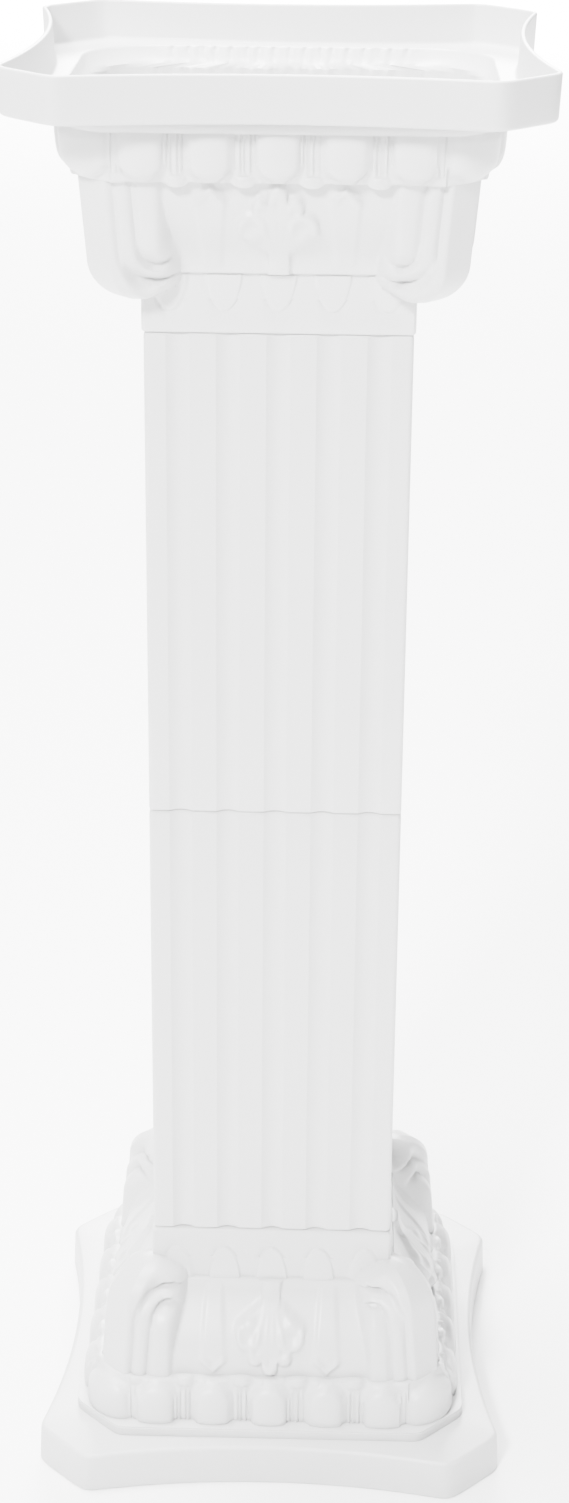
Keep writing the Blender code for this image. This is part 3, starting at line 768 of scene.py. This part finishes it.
def moulding_loops(s, shadow):
    """Every loop of the moulding, from under its floor, round the plug, up its outside and down its inside. Shadow
    is the share of the full depth that the narrow shadow gaps have."""
    bell, top_x, top_out = bell_loops(s)
    outside = [plug_loops(s), neck_loops(s, shadow), bell, egg_loops(s, top_x, top_out)]
    return np.concatenate(outside + [band_loops(s, shadow), rim_loops(s), opening_loops(s), inside_loops(s, top_x)])


# Shaft sections


def shaft_plan(s, inset):
    """Half a side of a fluted square, drawn in by an inset: each flute a shallow parabola, the corner a quarter
    round."""
    t = s.shaft
    per_flute, per_land, per_corner = 12, 3, 6
    first = (t.flutes % 2 == 0) * t.flute_pitch / 2
    centres = [first + number * t.flute_pitch for number in range((t.flutes + 1) // 2)]
    stations, depths = [], []
    for centre in centres:
        share = np.linspace(-1, 1, per_flute + 1)
        share = share[share >= 0] if centre == 0 else share
        stations.append(centre + share * t.flute_width / 2)
        depths.append(t.flute_depth * (1 - share**2))
    half, radius = t.half - inset, max(t.corner - inset, 0.4 * MM)
    lands = np.linspace(centres[-1] + t.flute_width / 2, half - radius, per_land + 1)[1:]
    turn = np.linspace(math.pi / 2, math.pi / 4, per_corner + 1)[1:]
    x = np.concatenate(stations + [lands, half - radius + radius * np.cos(turn)])
    corner = half - radius + radius * np.sin(turn)
    out = np.concatenate([half - np.concatenate(depths), np.full(len(lands), half), corner])
    return x[None], out[None]


def shaft_loops(s, section_length, with_plug):
    """A fluted tube whose ends are rounded to the outside, closed through its inside wall. A plug stands on the upper
    end of the lower section."""
    t = s.shaft
    quarter = np.radians([0, 30, 60, 90])
    rows = [(t.edge * (1 - math.sin(q)), t.edge * (1 - math.cos(q))) for q in quarter]
    rows += [(0.0, section_length * share) for share in (0.25, 0.5, 0.75)]
    rows += [(inset, section_length - z) for inset, z in rows[3::-1]]
    loops = [ring(*shaft_plan(s, inset), [z]) for inset, z in rows]
    if with_plug:
        x, plug, end = shaft_plan(s, 0.0)[0], plug_half(s), section_length + t.plug
        rows = ((plug, section_length), (plug, end), (plug - t.wall, end), (plug - t.wall, section_length - t.wall))
        for half, z in rows:
            square = half * x / x[:, -1:]
            loops.append(ring(square, np.full_like(square, half), [z]))
    inner_top = section_length - (2 * t.wall if with_plug else 0.0)
    loops += [ring(*shaft_plan(s, t.wall), [z]) for z in (inner_top, 0.0)]
    return np.concatenate(loops)


# Materials


class Value:
    """An output of a shader node, so that shader maths reads as an expression."""

    def __init__(self, graph, socket):
        self.graph, self.socket = graph, socket

    def _maths(self, operation, first, second):
        return self.graph.add("ShaderNodeMath", {"operation": operation}, {0: first, 1: second})

    def __add__(self, other):
        return self._maths("ADD", self, other)

    def __mul__(self, other):
        return self._maths("MULTIPLY", self, other)

    def __sub__(self, other):
        return self._maths("SUBTRACT", self, other)


class Graph:
    """The nodes of one material."""

    def __init__(self, name):
        self.material = bpy.data.materials.new(name)
        self.material.use_nodes = True
        self.tree = self.material.node_tree
        self.shader = self.tree.nodes["Principled BSDF"]

    def add(self, kind, settings, inputs, output=0):
        """Adds a node of a type, with its settings, and the values or links of its sockets."""
        node = self.tree.nodes.new(kind)
        for key, value in settings.items():
            setattr(node, key, value)
        for key, value in inputs.items():
            self.feed(node.inputs[key], value)
        return Value(self, node.outputs[output])

    def feed(self, socket, value):
        if isinstance(value, Value):
            self.tree.links.new(value.socket, socket)
        else:
            socket.default_value = value

    def noise(self, place, scale, detail):
        return self.add("ShaderNodeTexNoise", {}, {"Vector": place, "Scale": scale, "Detail": detail}, "Fac")

    def paint(self, amount, colour, first, second):
        """Gives the surface a colour that goes from one shade of it to another with the amount."""
        first, second = (tuple(min(c * shade, 1.0) for c in colour) + (1.0,) for shade in (first, second))
        mixed = self.add("ShaderNodeMix", {"data_type": "RGBA"}, {"Factor": amount, 6: first, 7: second}, 2)
        self.feed(self.shader.inputs["Base Color"], mixed)


def white_plastic(name, s, shade, turn):
    """Moulded white plastic: colour that wanders slightly, satin with uneven gloss, and a fine grain. The colour is
    scaled by the shade, which paints shade onto the pieces lower down: the shafts and the base come out darker, as if
    less lit.
    """
    p = s.plastic
    graph = Graph(name + "_plastic")
    place = graph.add("ShaderNodeTexCoord", {}, {}, "Object")
    centred = graph.add("ShaderNodeMapping", {}, {"Vector": place, "Rotation": (0.0, 0.0, turn)})
    cloud = graph.noise(centred, 14.0, 3.0)
    streaks = graph.add("ShaderNodeMapping", {}, {"Vector": place, "Scale": (90.0, 90.0, 9.0)})
    wander = cloud * 0.7 + graph.noise(streaks, 1.0, 2.0) * 0.3
    graph.paint(wander, p.colour, shade * (1 - p.mottle), shade * (1 + p.mottle))
    graph.feed(graph.shader.inputs["Roughness"], (wander - 0.5) * p.unevenness + p.roughness)
    grain = graph.noise(centred, 420.0, 2.0)
    bump = graph.add("ShaderNodeBump", {}, {"Height": grain, "Distance": p.grain, "Strength": 0.35})
    graph.feed(graph.shader.inputs["Normal"], bump)
    graph.shader.inputs["IOR"].default_value = 1.47
    return graph.material


# Operators and panel


class STAND_OT_mouldings(bpy.types.Operator):
    """Makes the capital, and the base as the same moulding turned upside down"""

    bl_idname = "stand.mouldings"
    bl_label = "Capital and Base"

    def execute(self, context):
        s = context.scene.stand
        tall = levels(s)[2]
        upward = (0, 0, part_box("capital")[1].z - tall)
        turned = (0, 0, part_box("base")[0].z + tall)
        look = white_plastic("capital", s, 1.0, 0.3)
        shown_piece("capital", moulding_loops(s, 1.0), False, lambda p: p + upward, look, 50)
        # The base gets painted shade: a darker share of the colour than the capital's, as if less lit.
        look = white_plastic("base", s, s.plastic.base_painted_shade, 1.1)
        loops = moulding_loops(s, s.moulding.base_shadow)
        shown_piece("base", loops, False, lambda p: p * (1, -1, -1) + turned, look, 50)
        return {"FINISHED"}


class STAND_OT_shafts(bpy.types.Operator):
    """Makes the two fluted shaft sections"""

    bl_idname = "stand.shafts"
    bl_label = "Shaft Sections"

    def execute(self, context):
        s = context.scene.stand
        # Faint painted shade: the lower section is a shade darker than the upper, and both are a little darker than the
        # capital, as if less lit.
        for name, with_plug, shade, turn in (("lower_shaft", True, 0.98, 0.7), ("upper_shaft", False, 0.99, 1.9)):
            low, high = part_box(name)
            section_length = high.z - low.z - (s.shaft.plug if with_plug else 0.0)
            loops = shaft_loops(s, section_length, with_plug)
            shown_piece(name, loops, True, lambda p: p + (0, 0, low.z), white_plastic(name, s, shade, turn), 28)
        return {"FINISHED"}


def make_floor(g):
    """A flat disc in pale paint whose shade wanders a little."""
    turn = np.linspace(0, 2 * math.pi, 97)[:-1]
    disc = np.stack([g.floor_radius * np.cos(turn), g.floor_radius * np.sin(turn), 0 * turn], axis=1)
    mesh = bpy.data.meshes.new("floor")
    mesh.from_pydata(disc.tolist(), [], [list(range(len(disc)))])
    graph = Graph("floor_paint")
    place = graph.add("ShaderNodeTexCoord", {}, {}, "Object")
    graph.paint(graph.noise(place, 1.3, 2.0), g.floor_colour, 1.0, 1.01)
    graph.shader.inputs["Roughness"].default_value = 0.9
    mesh.materials.append(graph.material)
    floor = bpy.data.objects.new("floor", mesh)
    bpy.context.scene.collection.objects.link(floor)


# Name, setting, size, place and aim of each light
LIGHTS = (
    ("key_light", "key", 0.6, (-1.1, -2.7, 2.9), (0.0, 0.0, 0.6)),
    ("top_light", "top", 2.0, (-0.5, 0.3, 5.0), (0.0, 0.0, 0.4)),
    ("back_light", "back", 4.0, (0.0, 8.0, 4.0), (0.0, 7.5, 0.0)),
)


def make_lights(g):
    """The even light from all round, and square area lights that face their aims."""
    world = bpy.data.worlds.new("soft_sky")
    world.use_nodes = True
    background = world.node_tree.nodes["Background"]
    background.inputs["Color"].default_value = (1.0, 1.0, 1.0, 1.0)
    background.inputs["Strength"].default_value = g.sky
    bpy.context.scene.world = world
    for name, setting, size, place, aim in LIGHTS:
        lamp = bpy.data.lights.new(name, "AREA")
        lamp.energy, lamp.size = getattr(g, setting), size
        light = bpy.data.objects.new(name, lamp)
        light.location = place
        across, along, down = np.subtract(aim, place)
        tilt = math.atan2(math.hypot(across, along), -down)
        light.rotation_euler = (tilt, 0.0, math.atan2(along, across) - math.pi / 2)
        bpy.context.scene.collection.objects.link(light)


def make_camera(g):
    """The camera at the photograph's angle, turned round the column, then down, then leaned."""
    camera = bpy.data.objects.new("camera", bpy.data.cameras.new("camera"))
    camera.data.lens = g.lens
    camera.data.sensor_width = 36.0
    camera.data.dof.use_dof = False
    turn = Matrix.Rotation(g.yaw, 4, "Z")
    place = turn @ Vector((g.camera_x, g.camera_y, g.camera_z))
    tilt = Matrix.Rotation(math.pi / 2 - g.pitch, 4, "X") @ Matrix.Rotation(g.roll, 4, "Z")
    camera.matrix_world = Matrix.Translation(place) @ turn @ tilt
    bpy.context.scene.collection.objects.link(camera)
    bpy.context.scene.camera = camera


class STAND_OT_stage(bpy.types.Operator):
    """Makes the pale floor, the soft lights and the camera"""

    bl_idname = "stand.stage"
    bl_label = "Stage"

    def execute(self, context):
        g = context.scene.stand.stage
        make_floor(g)
        make_lights(g)
        make_camera(g)
        return {"FINISHED"}


class STAND_PT_panel(bpy.types.Panel):
    """Lists the stand's pieces and its stage"""

    bl_idname = "STAND_PT_panel"
    bl_label = "Column Vase Stand"
    bl_space_type = "VIEW_3D"
    bl_region_type = "UI"
    bl_category = "Column Stand"

    def draw(self, context):
        for operator in OPERATORS:
            self.layout.operator(operator.bl_idname)
        s = context.scene.stand
        for group in (s.shaft, s.moulding, s.tongue, s.bracket, s.ornament, s.egg, s.rim, s.plastic, s.stage):
            box = self.layout.box()
            for name in group.__annotations__:
                box.prop(group, name)


GROUPS = (
    ShaftSizes, MouldingSizes, TongueSizes, BracketSizes, BellOrnamentSizes, EggSizes, RimSizes, PlasticLook,
    StageSettings, StandSettings,
)
OPERATORS = (STAND_OT_mouldings, STAND_OT_shafts, STAND_OT_stage)


def register():
    for cls in GROUPS + OPERATORS + (STAND_PT_panel,):
        bpy.utils.register_class(cls)
    bpy.types.Scene.stand = PointerProperty(type=StandSettings)


def unregister():
    del bpy.types.Scene.stand
    for cls in reversed(GROUPS + OPERATORS + (STAND_PT_panel,)):
        bpy.utils.unregister_class(cls)


def main():
    register()
    bpy.ops.stand.mouldings()
    bpy.ops.stand.shafts()
    bpy.ops.stand.stage()


if __name__ == "__main__":
    main()
